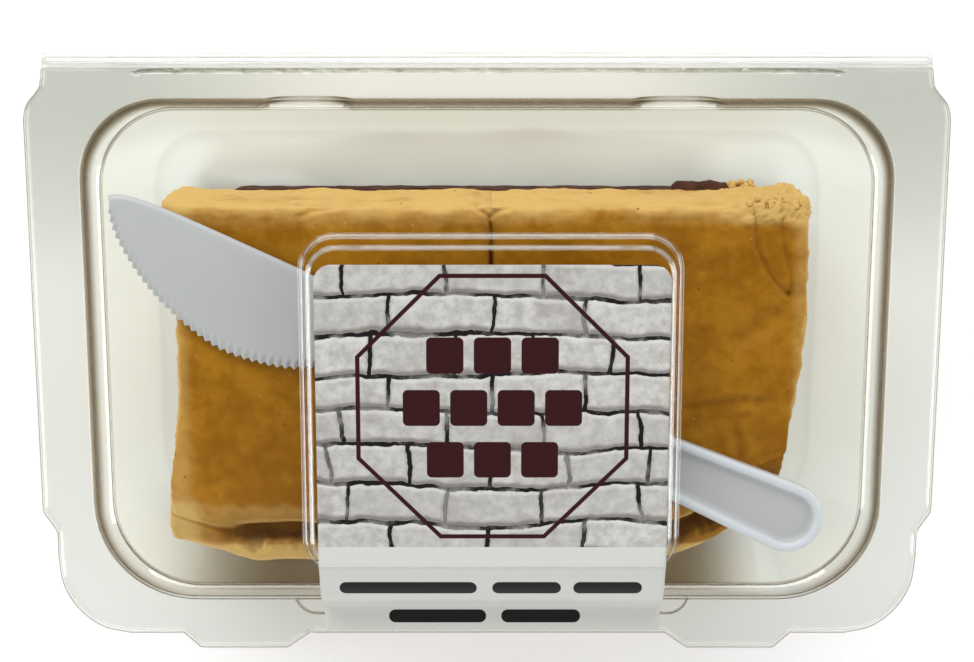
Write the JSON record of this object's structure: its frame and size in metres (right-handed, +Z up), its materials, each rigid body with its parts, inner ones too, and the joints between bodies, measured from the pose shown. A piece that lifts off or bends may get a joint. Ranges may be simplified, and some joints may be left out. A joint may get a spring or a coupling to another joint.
{
  "type": "pack of chocolate and peanut butter fudge",
  "caption": "Shut clear hinged clamshell pack with two-layer fudge blocks inside, a plastic knife lying on them and a paper label over the lid.",
  "frame": {"origin": "centre of the bounding box at its lowest face, which is the tray floor's underside", "axes": "+Z up, +Y towards the lid's hinge, +X along the hinge to the knife handle's side"},
  "size_m": [0.144, 0.0976, 0.0386],
  "materials": {
    "clear_plastic": "glossy clear thermoformed film",
    "label_paper": "satin printed paper",
    "peanut_butter_fudge": "smooth waxy",
    "chocolate_fudge": "smooth waxy",
    "white_plastic": "semi-gloss moulded"
  },
  "bodies": {
    "tray": {"tray": "clear_plastic", "chocolate_layer_left": "chocolate_fudge", "peanut_butter_layer_left": "peanut_butter_fudge", "chocolate_layer_right": "chocolate_fudge", "peanut_butter_layer_right": "peanut_butter_fudge", "knife": "white_plastic"},
    "lid": {"lid": "clear_plastic", "label": "label_paper"}
  },
  "joints": [
    {"name": "lid_hinge", "type": "hinge", "parent": "tray", "child": "lid", "pos_m": [0, 0.0474, 0.02765], "axis": [-1, 0, 0], "range_deg": [0, 180]}
  ]
}
